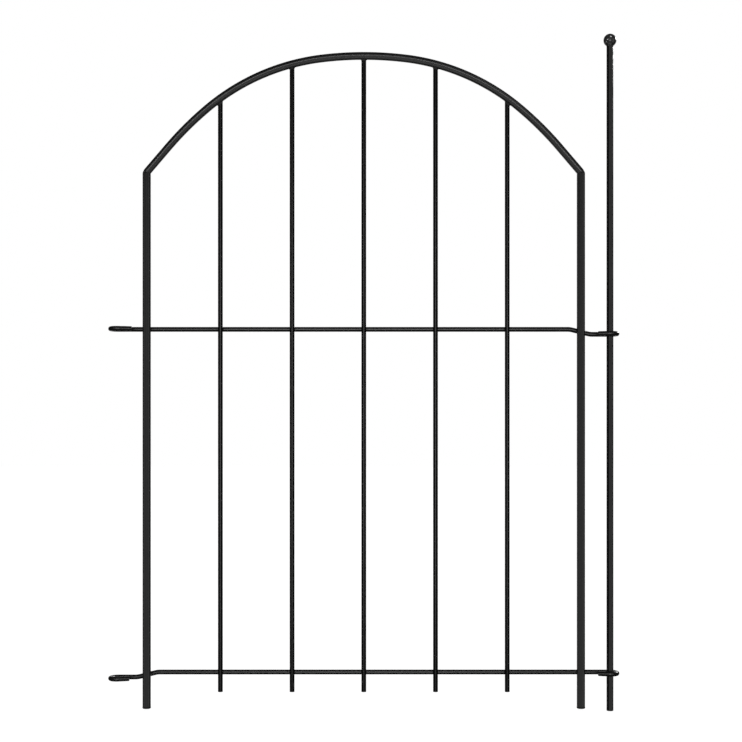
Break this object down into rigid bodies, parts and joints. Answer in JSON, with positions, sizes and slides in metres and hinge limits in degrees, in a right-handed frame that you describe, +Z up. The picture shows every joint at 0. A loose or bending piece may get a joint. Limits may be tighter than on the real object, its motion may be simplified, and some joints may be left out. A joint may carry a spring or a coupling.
{
  "type": "garden gate",
  "caption": "Low arched garden gate of coated steel wire and tube, hung by bent-wire eyes on a ball-topped ground stake, lifting and swinging on it.",
  "frame": {"origin": "foot of the ground stake, on its axis, which is also the hinge axis", "axes": "+Z up along the stake, +X from the leaf towards the stake's free side, so the leaf lies along -X; -Y is the front, the side that the posts and pickets show and the rails pass behind"},
  "size_m": [0.6326, 0.023, 0.838],
  "materials": {
    "stake_coat": "semi-gloss black powder coat",
    "frame_coat": "semi-gloss black powder coat",
    "wire_coat": "semi-gloss black powder coat",
    "weld_coat": "semi-gloss black powder coat over weld metal",
    "plug_plastic": "satin black moulded plastic"
  },
  "bodies": {
    "stake": {"stake_rod": "stake_coat"},
    "finial": {"stake_ball": "stake_coat"},
    "leaf": {"left_post": "frame_coat", "right_post": "frame_coat", "arch_tube": "frame_coat", "picket_1": "wire_coat", "picket_2": "wire_coat", "picket_3": "wire_coat", "picket_4": "wire_coat", "picket_5": "wire_coat", "upper_rail": "wire_coat", "lower_rail": "wire_coat", "upper_rail_welds": "weld_coat", "lower_rail_welds": "weld_coat", "arch_welds": "weld_coat", "left_post_plug": "plug_plastic", "right_post_plug": "plug_plastic"}
  },
  "joints": [
    {"name": "gate_swing", "type": "hinge", "parent": "stake", "child": "finial", "pos_m": [0, 0, 0], "axis": [0, 0, 1], "range_deg": [-170, 170]},
    {"name": "leaf_lift", "type": "slide", "parent": "finial", "child": "leaf", "axis": [0, 0, 1], "range_m": [0, 0.356]}
  ]
}
